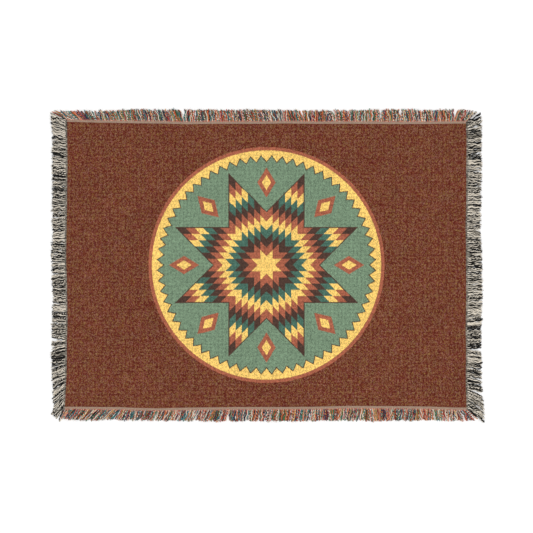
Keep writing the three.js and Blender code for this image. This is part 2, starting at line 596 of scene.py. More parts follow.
@dataclass(frozen=True)
class WeavePalette:
    """Yarn colours of one face of the cloth, as seen on a screen."""

    ground: tuple[tuple[int, int, int], ...]
    field: tuple[int, int, int]
    light: tuple[int, int, int]
    warm: tuple[int, int, int]
    dark: tuple[int, int, int]
    deep: tuple[int, int, int]


FACE_PALETTE = WeavePalette(
    ground=((82, 12, 2), (99, 35, 17), (117, 64, 39), (142, 104, 71)),
    field=(116, 140, 114),
    light=(244, 202, 110),
    warm=(166, 94, 70),
    dark=(76, 54, 45),
    deep=(70, 106, 92),
)
REVERSE_PALETTE = WeavePalette(
    ground=((128, 104, 78), (146, 121, 92), (160, 136, 106), (112, 78, 58)),
    field=(176, 160, 124),
    light=(122, 78, 58),
    warm=(190, 150, 112),
    dark=(198, 184, 150),
    deep=(204, 176, 122),
)


class FloatFinish(Finish):
    """A weave of floats that are all of one size, with painted shade in the creases between them and
    painted highlight on their crowns.
    """

    float_size: tuple[float, float] = (0.85 * MM, 2.2 * MM)
    float_step: float = 0.4
    # Colour scale from crease to crown: painted shade in the creases, painted highlight on the crowns.
    crease: tuple[float, float] = (0.62, 1.48)

    def floats(self, place: Signal) -> dict[str, Signal]:
        """Cut the cloth into its floats."""
        width, height = self.float_size
        sizes = {"Width": width, "Height": height, "Step": self.float_step}
        return self.effects.cells.use(self.sketch, Place=place, **sizes)

    def creases(self, threads: dict[str, Signal]) -> Signal:
        """Painted shade of the floats' relief: darker in the creases and lighter on the crowns."""
        return self.sketch.span(threads["Relief"], 0.0, 1.0, *self.crease)


class WeaveFinish(FloatFinish):
    """Jacquard weave: flecked ground, stepped medallion and thread relief, bumped and painted as shade
    in the creases.
    """

    name = "panel_weave_face"
    palette = FACE_PALETTE
    fleck_cell = (2.2 * MM, 1.6 * MM)
    fleck_share = 0.88
    fleck_span = (0.2, 0.8)
    fleck_lift = 0.4
    blotch_scale = 260.0
    patch_scale = 30.0
    patch_detail = 3.0
    patch_span = (0.35, 0.65)
    thread_hue = 0.4
    hue_turns = 91.0
    stray_turns = 57.0
    grid_pitch = 11.8 * MM
    grid_swing = 0.03
    grid_flecks = 0.035
    ground_stops = (0.12, 0.38, 0.62, 0.88)
    fleck_swing = 0.32
    fleck_stray = 1.3 * MM
    thread_swing = 0.12
    mottle_scale = 7.0
    mottle_span = (0.3, 0.7)
    mottle_swing = 0.05
    rough_swing = 0.06
    reddened = (1.03, 0.94, 0.96, 1.0)
    greened = (0.97, 1.04, 1.02, 1.0)
    bluish = (1.02, 0.74, 1.86, 1.0)
    golden = (0.98, 1.22, 0.3, 1.0)

    def dress(self) -> None:
        """Lay the flecks, the medallion, the mottle, the threads and their painted crease shade over one
        another.
        """
        sketch = self.sketch
        place = self.place(CLOTH_MIDDLE)
        threads = self.floats(place)
        middle, own = threads["Middle"], threads["Own"]
        width, height = self.fleck_cell
        strayed = self.strayed(middle, own)
        flecks = self.effects.cells.use(sketch, Place=strayed, Width=width, Height=height)["Own"]
        grid = self.grid(middle)
        fleck = sketch.weigh(flecks, self.fleck_share, sketch.noise(middle, self.blotch_scale))
        fleck = grid.times_plus(self.grid_flecks, fleck)
        hue = sketch.weigh(own, self.thread_hue, (flecks * self.hue_turns).fract())
        ground = self.ground(place, fleck, hue)
        tones = ("field", "light", "warm", "dark", "deep")
        colours = {tone.title(): linear(getattr(self.palette, tone)) for tone in tones}
        medallion = self.effects.medallion.use(sketch, Place=middle, **colours)
        swing = sketch.vary(fleck, self.fleck_span, self.fleck_swing)
        colour = sketch.mix(medallion["Mask"], ground, sketch.dim(medallion["Colour"], swing))
        # The colour carries the cloth's own tone and painted shade in the thread creases.
        self.colour(sketch.dim(colour, self.shade(place, grid, threads)))
        rough = (self.roughness - self.rough_swing, self.roughness + self.rough_swing)
        sketch.feed(self.shader.inputs["Roughness"], sketch.span(fleck, 0.0, 1.0, *rough))
        self.bump(fleck.times_plus(self.fleck_lift, threads["Relief"]))

    def strayed(self, middle: Signal, own: Signal) -> Signal:
        """Move each thread's middle a little its own way, so that flecks end in ragged threads."""
        across, up, _ = self.sketch.split(middle)
        other = (own * self.stray_turns).fract()
        aside = (own - 0.5).times_plus(self.fleck_stray, across)
        endwise = (other - 0.5).times_plus(self.fleck_stray, up)
        return self.sketch.join(aside, endwise)

    def grid(self, place: Signal) -> Signal:
        """The square repeat of the loom's threads, from -2 to 2."""
        turn = 2 * math.pi / self.grid_pitch
        across, up, _ = self.sketch.split(place)
        return (across * turn).cosine() + (up * turn).cosine()

    def ground(self, place: Signal, fleck: Signal, hue: Signal) -> Signal:
        """The brown ground.

        Args:
            place: Places on the cloth.
            fleck: How light each fleck is.
            hue: How far each fleck leans from blue to gold.

        Returns:
            The ground's colour.
        """
        sketch = self.sketch
        cloudy = sketch.noise(place, self.patch_scale, self.patch_detail)
        patch = sketch.span(cloudy, *self.patch_span, 0.0, 1.0)
        tint = sketch.mix(patch, self.reddened, self.greened)
        tinted = sketch.mix(1.0, self.ground_ramp(fleck), tint, "MULTIPLY")
        return sketch.mix(1.0, tinted, sketch.mix(hue, self.bluish, self.golden), "MULTIPLY")

    def shade(self, place: Signal, grid: Signal, threads: dict[str, Signal]) -> Signal:
        """Vary the cloth's own tone every few threads of the loom, in soft patches and thread by thread,
        and add painted shade in the creases between threads with painted highlight on their crowns.
        """
        sketch = self.sketch
        cloudy = sketch.noise(place, self.mottle_scale)
        total = sketch.vary(cloudy, self.mottle_span, self.mottle_swing)
        total = grid.times_plus(self.grid_swing, total)
        own = sketch.vary(threads["Own"], (0.0, 1.0), self.thread_swing)
        # The creases' factor is painted shade and highlight; the loom, patch and thread factors are the
        # cloth's own tone.
        return total * self.creases(threads) * own

    def ground_ramp(self, fleck: Signal) -> Signal:
        """The ground's yarns, each taking its share of the flecks."""
        ramp = self.sketch.put("ShaderNodeValToRGB")
        ramp.color_ramp.interpolation = "LINEAR"
        stops = ramp.color_ramp.elements
        while len(stops) < len(self.palette.ground):
            stops.new(0.5)
        for stop, place, tone in zip(stops, self.ground_stops, self.palette.ground):
            stop.position = place
            stop.color = linear(tone)
        self.sketch.feed(ramp.inputs[0], fleck)
        return Signal(self.sketch, ramp.outputs[0])


class ReverseFinish(WeaveFinish):
    """The cloth's back, where the hidden yarns of the face come up."""

    name = "panel_weave_reverse"
    palette = REVERSE_PALETTE


class HeadingFinish(FloatFinish):
    """Plain tight weave of the pale heading above and below the cloth."""

    name = "heading_weave"
    float_size = (1.0 * MM, 1.8 * MM)
    float_step = 0.5
    crease = (0.62, 1.46)
    tones = ((142, 120, 103), (168, 146, 127))
    blush = (182, 132, 114)
    blush_share = 0.6
    streak_scale = 420.0
    streak_span = (0.45, 0.75)

    def dress(self) -> None:
        """Cross two sets of threads, with a blush of the warp colours and painted shade in the creases
        between them.
        """
        sketch = self.sketch
        place = self.place()
        threads = self.floats(place)
        across, _, _ = sketch.split(place)
        streak = sketch.noise(sketch.join(across, 0.0), self.streak_scale)
        body = sketch.mix(threads["Own"], *(linear(tone) for tone in self.tones))
        tint = sketch.span(streak, *self.streak_span, 0.0, self.blush_share)
        body = sketch.mix(tint, body, linear(self.blush))
        # Painted shade in the creases between threads, painted highlight on their crowns.
        self.colour(sketch.dim(body, self.creases(threads)))
        self.bump(threads["Relief"])


class SelvedgeFinish(Finish):
    """Weft yarns packed side by side where they leave the cloth's left and right edges."""

    name = "selvedge_yarn"
    bump_depth = 0.5 * MM
    pitch = 1.5 * MM
    twist_lead = 3.6 * MM
    own_share = 0.35
    pair_start = 0.1
    tones = ((34, 30, 26), (112, 104, 94), (186, 177, 162))
    ply_crease = (0.72, 1.08)
    ply_full = 0.7
    yarn_crease = (0.5, 1.15)

    def dress(self) -> None:
        """Give each packed yarn a tone, a round back and a twist, bumped and painted as shade between
        the yarns and in the creases between plies.
        """
        sketch = self.sketch
        across, up, _ = sketch.split(self.place())
        count = up / self.pitch
        whole = count.floor()
        pair = whole.times_plus(0.5, self.pair_start).floor()
        own, shared = (sketch.speckle(sketch.join(number, 0.0)) for number in (whole, pair))
        tone = sketch.weigh(own, self.own_share, shared)
        dark, middle, light = (linear(srgb) for srgb in self.tones)
        body = sketch.mix(sketch.span(tone, 0.0, 0.5, 0.0, 1.0), dark, middle)
        body = sketch.mix(sketch.span(tone, 0.5, 1.0, 0.0, 1.0), body, light)
        share = count - whole - 0.5
        crown = (share * math.pi).cosine()
        run = sketch.join(share * 0.5, across / self.twist_lead + own)
        ply = self.effects.twist.use(sketch, Run=run)
        # Painted shade: darker between the packed yarns and in the creases between plies, a little
        # lighter on the crowns.
        spun = sketch.span(ply["Height"], 0.0, self.ply_full, *self.ply_crease)
        self.colour(sketch.dim(body, sketch.span(crown, 0.0, 1.0, *self.yarn_crease) * spun))
        self.bump(crown * spun)


class YarnFinish(Finish):
    """Loose two-ply cotton strand that carries the dyed colours of its plies."""

    name = "cut_yarn"
    bump_depth = 0.6 * MM
    bump_strength = 0.9
    plies = ("first_ply", "second_ply")
    run = "strand_run"
    ply_crease = (0.5, 1.08)
    ply_full = 0.7
    fuzz_scale = 1400.0
    fuzz_detail = 3.0
    fuzz_span = (0.3, 0.7)
    fuzz_shade = (0.86, 1.12)

    def dress(self) -> None:
        """Twist the two dyed plies together, with painted shade in the crease between them and fuzz."""
        sketch = self.sketch
        carrier = "ShaderNodeAttribute"
        dyed = [sketch.take(carrier, {}, "Color", attribute_name=ply) for ply in self.plies]
        run = sketch.take("ShaderNodeUVMap", {}, "UV", uv_map=self.run)
        ply = self.effects.twist.use(sketch, Run=run)
        body = sketch.mix(ply["Which"], *dyed)
        fuzz = sketch.noise(self.place(), self.fuzz_scale, self.fuzz_detail)
        fuzz = sketch.span(fuzz, *self.fuzz_span, *self.fuzz_shade)
        # Painted shade in the crease between the two plies.
        crease = sketch.span(ply["Height"], 0.0, self.ply_full, *self.ply_crease)
        self.colour(sketch.dim(body, crease * fuzz))
        self.bump(ply["Height"])


class FloorFinish(Finish):
    """Plain white studio floor with a trace of unevenness."""

    name = "floor_white"
    sheen = 0.0
    roughness = 0.8
    whites = ((252, 252, 252), (255, 255, 255))
    cloud_scale = 2.0

    def dress(self) -> None:
        """Vary the white a little."""
        cloud = self.sketch.noise(self.place(), self.cloud_scale)
        self.colour(self.sketch.mix(cloud, *(linear(white) for white in self.whites)))


def clear_selection() -> None:
    """Deselect everything, so that an operator acts on the new piece alone."""
    if bpy.context.object and bpy.context.object.mode != "OBJECT":
        bpy.ops.object.mode_set(mode="OBJECT")
    bpy.ops.object.select_all(action="DESELECT")


def add_grid(name: str, across: int, up: int) -> bpy.types.Object:
    """Add a flat grid that runs from -1 to 1 both ways.

    Args:
        name: The new piece's name.
        across: Cells along X.
        up: Cells along Y.

    Returns:
        The grid, selected and active.
    """
    clear_selection()
    bpy.ops.mesh.primitive_grid_add(x_subdivisions=across, y_subdivisions=up, size=2)
    piece = bpy.context.object
    piece.name = name
    piece.data.name = name
    return piece


def read_points(piece: bpy.types.Object) -> np.ndarray:
    """The piece's vertices as an array of points."""
    flat = np.zeros(len(piece.data.vertices) * 3, np.float32)
    piece.data.vertices.foreach_get("co", flat)
    return flat.reshape(-1, 3).astype(float)


def write_points(piece: bpy.types.Object, points: np.ndarray) -> None:
    """Move the piece's vertices."""
    piece.data.vertices.foreach_set("co", points.astype(np.float32).ravel())
    piece.data.update()


RIM_ANGLE = math.radians(50)
RIM_SEGMENTS = 2


def thicken(piece: bpy.types.Object, thickness: float, rounding: float) -> None:
    """Give a sheet its thickness below its face and round its rim.

    Args:
        piece: The sheet, active and selected.
        thickness: How far the back lies below the face.
        rounding: The radius of the rim.
    """
    bpy.ops.object.mode_set(mode="EDIT")
    bpy.ops.mesh.select_all(action="SELECT")
    bpy.ops.mesh.normals_make_consistent(inside=False)
    bpy.ops.object.mode_set(mode="OBJECT")
    if piece.data.polygons[0].normal.z < 0:
        piece.data.flip_normals()
    solid = piece.modifiers.new("thickness", "SOLIDIFY")
    solid.thickness = thickness
    solid.offset = -1.0
    bpy.ops.object.modifier_apply(modifier=solid.name)
    rim = piece.modifiers.new("rim", "BEVEL")
    rim.width = rounding
    rim.segments = RIM_SEGMENTS
    rim.limit_method = "ANGLE"
    rim.angle_limit = RIM_ANGLE
    bpy.ops.object.modifier_apply(modifier=rim.name)
    bpy.ops.object.shade_smooth_by_angle(angle=RIM_ANGLE)


def mount(piece: bpy.types.Object, node: str, finishes: list[Finish]) -> None:
    """Dress a piece and put it on the part in place of a CAD node.

    Args:
        piece: The finished piece.
        node: The node that it stands for.
        finishes: Finishes in the order of the piece's material slots.
    """
    for finish in finishes:
        piece.data.materials.append(finish.material)
    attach(piece, BODY)
    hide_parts(node)
    LOG.info("%s: %d faces", piece.name, len(piece.data.polygons))


class Swell(NamedTuple):
    """A soft rise of the cloth: waves over its width and height, a phase and a height in millimetres."""

    across: float
    up: float
    phase: float
    rise: float


@dataclass
class WovenPanel:
    """The cloth: a thin sheet that lies almost flat, with soft swells."""

    across: int = 168
    up: int = 120
    thickness: float = 2.2 * MM
    rounding: float = 0.7 * MM
    calm_rim: float = 0.06
    swells: tuple[Swell, ...] = (
        Swell(3.1, 1.2, 0.4, 0.55),
        Swell(-1.7, 2.6, 2.1, 0.5),
        Swell(5.3, -3.4, 1.2, 0.28),
        Swell(2.2, 5.1, 4.4, 0.22),
    )

    def build(self) -> bpy.types.Object:
        """Shape the sheet to the solid's outline.

        Returns:
            The cloth, its back faces on the second material slot.
        """
        piece = add_grid("woven_cloth", self.across, self.up)
        grid = read_points(piece)
        share = grid[:, :2]
        left, right = ClothEdge(Side.LEFT), ClothEdge(Side.RIGHT)
        bottom, top = ClothEdge(Side.BOTTOM), ClothEdge(Side.TOP)
        mid_y = np.interp(share[:, 1], (-1, 1), left.span())
        mid_x = np.interp(share[:, 0], (-1, 1), np.mean((bottom.span(), top.span()), axis=0))
        weight = (share + 1) / 2
        x = (1 - weight[:, 0]) * -left.distance(mid_y) + weight[:, 0] * right.distance(mid_y)
        y = (1 - weight[:, 1]) * -bottom.distance(mid_x) + weight[:, 1] * top.distance(mid_x)
        z = self.thickness + self.rise(share)
        write_points(piece, np.column_stack((x, y, z)))
        thicken(piece, self.thickness, self.rounding)
        for face in piece.data.polygons:
            face.material_index = int(face.normal.z < -0.5)
        return piece

    def rise(self, share: np.ndarray) -> np.ndarray:
        """How far the cloth lifts off the floor at places of -1 to 1."""
        total = np.zeros(len(share))
        for swell in self.swells:
            turn = math.pi * (swell.across * share[:, 0] + swell.up * share[:, 1]) / 2
            total += swell.rise * MM * (1 + np.sin(turn + swell.phase)) / 2
        calm = eased((1 - np.abs(share)) / (2 * self.calm_rim))
        return total * calm.prod(axis=1)

    def dress(self, piece: bpy.types.Object, effects: Effects) -> None:
        """Weave both faces and lay the cloth on the part."""
        mount(piece, "woven_panel", [WeaveFinish(effects), ReverseFinish(effects)])


@dataclass(frozen=True)
class YarnTone:
    """A dyed yarn and how often it comes up."""

    name: str
    srgb: tuple[int, int, int]
    share: float


WARP_TONES = (
    YarnTone("maroon", (116, 36, 32), 0.13),
    YarnTone("red", (184, 62, 52), 0.1),
    YarnTone("orange", (214, 120, 66), 0.13),
    YarnTone("gold", (220, 176, 108), 0.04),
    YarnTone("teal", (64, 132, 136), 0.13),
    YarnTone("green", (76, 124, 84), 0.13),
    YarnTone("navy", (44, 54, 86), 0.085),
    YarnTone("cream", (238, 226, 208), 0.145),
    YarnTone("salmon", (214, 152, 134), 0.075),
    YarnTone("bark", (42, 31, 27), 0.065),
)
WARP_ROOT_TONES = (
    YarnTone("maroon", (122, 36, 32), 0.14),
    YarnTone("blush", (232, 148, 130), 0.4),
    YarnTone("madder", (204, 66, 56), 0.31),
    YarnTone("sand", (206, 184, 164), 0.15),
)
WEFT_TONES = (
    YarnTone("black", (14, 12, 9), 0.565),
    YarnTone("stone", (150, 143, 130), 0.06),
    YarnTone("cream", (237, 227, 210), 0.405),
    YarnTone("slate", (86, 80, 71), 0.03),
)
WEFT_ROOT_TONES = (
    YarnTone("soot", (46, 41, 36), 0.56),
    YarnTone("stone", (164, 155, 142), 0.44),
)
GOLDEN_TURN = (math.sqrt(5) - 1) / 2


def draw_tones(
    rng: np.random.Generator, tones: tuple[YarnTone, ...], count: int, stray: float = 0.08
) -> np.ndarray:
    """Draw yarn colours by their shares, so that neighbours seldom match.

    Args:
        rng: The side's seeded generator.
        tones: The yarns to draw from.
        count: How many to draw.
        stray: How far a draw strays from an even turn through the yarns.

    Returns:
        One linear RGBA row for each draw.
    """
    shares = np.cumsum([tone.share for tone in tones])
    spots = rng.random() + np.arange(count) * GOLDEN_TURN + rng.normal(0, stray, count)
    picks = np.searchsorted(shares / shares[-1], spots % 1.0)
    return np.array([linear(tone.srgb) for tone in tones])[picks]


@dataclass(frozen=True)
class TrimKind:
    """What the two warp sides, or the two weft sides, have in common."""

    slot: str
    strip: str
    strip_finish: type[Finish]
    strip_width: float
    ends: str
    overrun: float
    buried: float
    root_height: float
    root_rings: float
    tones: tuple[YarnTone, ...]
    root_tones: tuple[YarnTone, ...]
    tone_stray: float
    two_tone: float
    pitch: float
    radius: tuple[float, float]
    rings: int
    gather: tuple[float, float]
    crimp: tuple[float, float]
    crimp_wave: tuple[float, float]


HEADING_WIDTH = 9 * MM
WARP_TRIM = TrimKind(
    slot="warp_fringe",
    strip="heading",
    strip_finish=HeadingFinish,
    strip_width=HEADING_WIDTH,
    ends="warp_ends",
    overrun=0.0,
    buried=3.8 * MM,
    root_height=1.2 * MM,
    root_rings=1.5,
    tones=WARP_TONES,
    root_tones=WARP_ROOT_TONES,
    tone_stray=0.08,
    two_tone=0.5,
    pitch=2.55 * MM,
    radius=(1.0 * MM, 1.32 * MM),
    rings=13,
    gather=(0.0, 0.26),
    crimp=(0.5 * MM, 2.1 * MM),
    crimp_wave=(18 * MM, 32 * MM),
)
WEFT_TRIM = TrimKind(
    slot="weft_fringe",
    strip="selvedge",
    strip_finish=SelvedgeFinish,
    strip_width=4.8 * MM,
    ends="weft_ends",
    overrun=HEADING_WIDTH,
    buried=1.8 * MM,
    root_height=1.2 * MM,
    root_rings=1.1,
    tones=WEFT_TONES,
    root_tones=WEFT_ROOT_TONES,
    tone_stray=0.13,
    two_tone=0.15,
    pitch=2.4 * MM,
    radius=(0.95 * MM, 1.25 * MM),
    rings=17,
    gather=(0.05, 0.42),
    crimp=(0.7 * MM, 2.1 * MM),
    crimp_wave=(18 * MM, 30 * MM),
)
TRIMS: dict[Side, TrimKind] = {
    Side.TOP: WARP_TRIM,
    Side.BOTTOM: WARP_TRIM,
    Side.LEFT: WEFT_TRIM,
    Side.RIGHT: WEFT_TRIM,
}


@dataclass
class SideTrim:
    """A piece that runs along one side of the cloth."""

    side: Side
    kind: TrimKind

    @property
    def edge(self) -> ClothEdge:
        """The cloth's edge on this side."""
        return ClothEdge(self.side)

    def dress(self, piece: bpy.types.Object, finish: Finish) -> None:
        """Give the piece its finish and lay it on the part in place of the side's solid."""
        mount(piece, f"fringe_{self.side.label}", [finish])


@dataclass
class BackingStrip(SideTrim):
    """The narrow strip that holds one side's yarn ends."""

    thickness: float = 1.9 * MM
    tucked: float = 0.5 * MM
    cells_along: int = 240
    cells_across: int = 4
    rounding: float = 0.5 * MM

    def build(self) -> bpy.types.Object:
        """Lay the strip along the cloth's edge.

        Returns:
            The strip.
        """
        piece = add_grid(f"{self.kind.strip}_{self.side.label}", self.cells_along, self.cells_across)
        grid = read_points(piece)
        start, finish = self.edge.span()
        over = self.kind.overrun
        along = np.interp(grid[:, 0], (-1, 1), (start - over, finish + over))
        past = np.interp(grid[:, 1], (-1, 1), (-self.tucked, self.kind.strip_width))
        height = np.full(len(grid), self.thickness)
        write_points(piece, self.side.points(along, self.edge.distance(along) + past, height))
        thicken(piece, self.thickness, self.rounding)
        return piece


def slack_over(levels: np.ndarray, reach: int) -> np.ndarray:
    """The line that a slack yarn takes over a row of peaks.

    Args:
        levels: Heights to lie on, step by step.
        reach: How many steps the yarn bridges to each side.

    Returns:
        Smooth heights that stay near the peaks.
    """
    for measure in (np.max, np.mean):
        padded = np.pad(levels, reach, mode="edge")
        windows = np.lib.stride_tricks.sliding_window_view(padded, 2 * reach + 1)
        levels = measure(windows, axis=1)
    return levels


@dataclass(frozen=True)
class Locks:
    """Small bundles of strands that lie the same way, as arrays over the side's locks."""

    limits: np.ndarray
    middles: np.ndarray
    sway: np.ndarray
    reach: np.ndarray
    gathering: np.ndarray
    phase: np.ndarray
    wave: np.ndarray


@dataclass
class Fringe(SideTrim):
    """The cut yarn ends of one side, lying on the floor in small locks."""

    seed: int
    spacing: tuple[int, ...] = (2, 1, 1)
    root_stray: float = 0.3
    phase_stray: float = 0.7
    crimp_rise: float = 3.0
    corners: int = 6
    root_taper: float = 0.4
    tip_taper: float = 0.7
    lock_width: tuple[float, float] = (7 * MM, 16 * MM)
    lock_sway: float = 2.0 * MM
    lock_spread: float = 0.02
    twist_lead: tuple[float, float] = (7 * MM, 11 * MM)
    own_sway: float = 3.6 * MM
    own_length: float = 1.8 * MM
    trim: float = 3.2 * MM
    tuft: int = 10
    tuft_width: float = 8 * MM
    tuft_fan: float = 26 * MM
    tuft_locks: int = 4
    tuft_calm: float = 0.25
    tip_slack: float = 1.5 * MM
    parting_width: float = 8 * MM
    parting_calm: float = 0.8
    pile_width: float = 0.8
    pile_rows: int = 5
    pile_cell: float = 0.5 * MM
    pile_steps: int = 4
    pile_squash: float = 0.7
    pile_rise: float = 0.35
    pile_limit: float = 5.5 * MM
    stiffness: int = 3
    sweep_power: tuple[float, float] = (1.4, 0.9)
    full_sway: float = 45 * MM
    rng: np.random.Generator = field(init=False)

    def __post_init__(self) -> None:
        """Seed the side's own draws."""
        self.rng = np.random.default_rng(self.seed)

    def build(self) -> bpy.types.Object:
        """Lay every strand of the side.

        Returns:
            One mesh of closed strands with their colours and runs.
        """
        roots, layer = self.roots()
        girth = self.rng.uniform(*self.kind.radius, (len(roots), 1)) * self.taper()
        paths = self.paths(roots, layer, girth)
        piece = self.tubes(paths, girth)
        self.dye(piece.data, len(roots))
        self.unroll(piece.data, paths)
        return piece

    def taper(self) -> np.ndarray:
        """Each ring's share of a strand's radius: thin in the strip and drawn in at the cut."""
        share = np.ones(self.kind.rings)
        share[0], share[-1] = self.root_taper, self.tip_taper
        return share

    def roots(self) -> tuple[np.ndarray, np.ndarray]:
        """Place the strands along the edge, with a thicker tuft at each corner.

        Returns:
            Each strand's place and its layer.
        """
        start, finish = self.edge.span()
        start, finish = start - self.kind.overrun, finish + self.kind.overrun
        pitch = self.kind.pitch
        even = np.linspace(start + pitch / 2, finish - pitch / 2, int((finish - start) / pitch))
        rows = [even[::step] for step in self.spacing]
        layer = np.repeat(np.arange(len(rows)), [len(row) for row in rows])
        row = np.concatenate(rows) + self.rng.normal(0, self.root_stray * pitch, len(layer))
        tufts = self.rng.uniform(0, self.tuft_width, (2, self.tuft))
        places = np.concatenate((row, start + tufts[0], finish - tufts[1]))
        layer = np.concatenate((layer, self.rng.integers(0, len(rows), 2 * self.tuft)))
        return np.clip(places, even[0], even[-1]), layer

    def aim(self, nominal: np.ndarray, loose: np.ndarray) -> np.ndarray:
        """Find how far each strand leans, how far its tip sways and how far it reaches.

        Args:
            nominal: Places of the strands from the middle of the side.
            loose: How far each strand strays from the common lean.

        Returns:
            Lean, sway and reach in three rows.
        """
        rows = np.array(LAY[self.side]) * MM
        end = rows[-1, 0]
        cornered = np.abs(nominal) > end - self.tuft_width
        fan = self.tuft_fan / self.tuft_locks
        inward = self.rng.integers(self.tuft_locks, size=len(nominal)) * fan
        lay = np.where(cornered, np.sign(nominal) * (end - inward), nominal)
        lean = np.interp(lay, rows[:, 0], rows[:, 2]) + lay - nominal
        loose = loose * np.where(cornered, self.tuft_calm, 1.0)
        for place, opening in PARTINGS[self.side]:
            away = nominal - place * MM
            near = np.exp(-((away / self.parting_width) ** 2))
            lean += np.sign(away) * near * opening * MM / 2
            loose *= 1 - self.parting_calm * near
        tips = rows[[0, -1], 0] + rows[[0, -1], 2] + np.array((-1, 1)) * self.tip_slack
        sway = np.clip(nominal + lean + loose, *tips) - nominal
        return np.array((lean, sway, np.interp(lay, rows[:, 0], rows[:, 1])))

    def part_locks(self) -> Locks:
        """Part the side into locks, each with a lay of its own.

        Returns:
            The locks from the side's start to its finish.
        """
        rng = self.rng
        start, finish = self.edge.span()
        widths = rng.uniform(*self.lock_width, int((finish - start) / self.lock_width[0]))
        middle = CLOTH_MIDDLE @ self.side.along
        splits = [middle + place * MM for place, _ in PARTINGS[self.side]]
        limits = np.sort(np.concatenate((start + np.cumsum(widths), splits)))
        limits = limits[limits < finish - self.lock_width[0] / 2]
        ends = np.concatenate(([start], limits, [finish]))
        middles = (ends[:-1] + ends[1:]) / 2
        count = len(middles)
        return Locks(
            limits=limits,
            middles=middles,
            sway=rng.normal(0, self.lock_sway, count),
            reach=1 + rng.normal(0, self.lock_spread, count),
            gathering=rng.uniform(*self.kind.gather, count),
            phase=rng.uniform(0, 2 * math.pi, count),
            wave=rng.uniform(*self.kind.crimp_wave, count),
        )

    def paths(self, roots: np.ndarray, layer: np.ndarray, girth: np.ndarray) -> np.ndarray:
        """The middle line of each strand.

        Args:
            roots: Places of the strands.
            layer: The layer of each strand.
            girth: Radii by strand and ring.

        Returns:
            Points by strand and ring.
        """
        rng, count = self.rng, len(roots)
        locks = self.part_locks()
        lock = np.searchsorted(locks.limits, roots)
        loose = locks.sway[lock] + rng.normal(0, self.own_sway, count)
        lean, sway, reach = self.aim(roots - CLOTH_MIDDLE @ self.side.along, loose)
        cut = reach * locks.reach[lock] - self.trim + rng.normal(0, self.own_length, count)
        buried_end = self.kind.strip_width - self.kind.buried
        length = cut - buried_end
        power = np.interp(np.abs(lean), (0, self.full_sway), self.sweep_power)
        phase = locks.phase[lock] + rng.normal(0, self.phase_stray, count)
        crimp = rng.uniform(*self.kind.crimp, count)

        step = np.linspace(0, 1, self.kind.rings)
        run = np.outer(length, step)
        turn = 2 * math.pi * run / locks.wave[lock][:, None] + phase[:, None]
        wiggle = crimp[:, None] * np.sin(turn) * np.minimum(1, self.crimp_rise * step)
        drawn = np.outer(locks.gathering[lock] * (locks.middles[lock] - roots), eased(step))
        along = roots[:, None] + sway[:, None] * step ** power[:, None] + drawn + wiggle
        out = self.edge.distance(roots)[:, None] + buried_end + run
        height = np.maximum(self.pile(along, out, girth, layer), girth)
        return self.side.points(along, out, height)

    def pile(
        self, along: np.ndarray, out: np.ndarray, girth: np.ndarray, layer: np.ndarray
    ) -> np.ndarray:
        """Let the strands down one after another, each onto those that already lie there.

        Args:
            along: Places along the edge by strand and ring.
            out: Distances out by strand and ring.
            girth: Radii by strand and ring.
            layer: The layer of each strand.

        Returns:
            Heights of the middle lines by strand and ring.
        """
        rings = self.kind.rings
        fine = np.linspace(0, rings - 1, self.pile_steps * (rings - 1) + 1)
        blend = np.maximum(0, 1 - np.abs(fine - np.arange(rings)[:, None]))
        radius = self.pile_squash * girth @ blend
        aside = np.linspace(-self.pile_width, self.pile_width, self.pile_rows)[:, None]
        crown = np.sqrt(1 - aside**2)
        wide = (along @ blend)[:, None, :] + aside * radius[:, None, :]
        columns = ((wide - wide.min()) / self.pile_cell).astype(int)
        rows = ((out - out.min()) @ blend / self.pile_cell).astype(int)
        risen = eased(fine / (self.pile_rise * (rings - 1)))
        top = np.zeros((columns.max() + 1, rows.max() + 1))
        heights = np.zeros_like(along)
        for strand in np.argsort(layer, kind="stable"):
            spots = columns[strand], rows[strand]
            back = crown * radius[strand]
            rest = slack_over((top[spots] + back).max(axis=0), self.stiffness)
            level = self.kind.root_height * (1 - risen) + np.minimum(rest, self.pile_limit) * risen
            np.maximum.at(top, spots, level + back)
            heights[strand] = level[:: self.pile_steps]
        return heights

    def tubes(self, paths: np.ndarray, girth: np.ndarray) -> bpy.types.Object:
        """Wrap closed tubes round the middle lines.

        Args:
            paths: Points by strand and ring.
            girth: Radii by strand and ring.

        Returns:
            The joined strands as one piece.
        """
        count, rings, corners = len(paths), self.kind.rings, self.corners
        tangent = np.gradient(paths, axis=1)
        tangent /= np.linalg.norm(tangent, axis=2, keepdims=True)
        beside = np.cross(tangent, (0.0, 0.0, 1.0))
        beside /= np.linalg.norm(beside, axis=2, keepdims=True)
        above = np.cross(tangent, beside)
        angles = np.linspace(0, 2 * math.pi, corners, endpoint=False)
        wheel = np.cos(angles)[:, None] * beside[:, :, None, :]
        wheel = wheel + np.sin(angles)[:, None] * above[:, :, None, :]
        points = paths[:, :, None, :] + girth[:, :, None, None] * wheel
        points[..., 2] = np.maximum(points[..., 2], 0.0)
        number = np.arange(count * rings * corners).reshape(count, rings, corners)
        turned = np.roll(number, -1, axis=2)
        walls = np.stack(
            (number[:, :-1], turned[:, :-1], turned[:, 1:], number[:, 1:]), axis=-1
        ).reshape(-1, 4)
        tips = number[:, -1]
        butts = number[:, 0, ::-1]
        faces = walls.tolist() + tips.tolist() + butts.tolist()
        mesh = bpy.data.meshes.new(f"{self.kind.ends}_{self.side.label}")
        mesh.from_pydata(points.reshape(-1, 3).tolist(), [], faces)
        mesh.shade_smooth()
        piece = bpy.data.objects.new(mesh.name, mesh)
        bpy.context.scene.collection.objects.link(piece)
        return piece

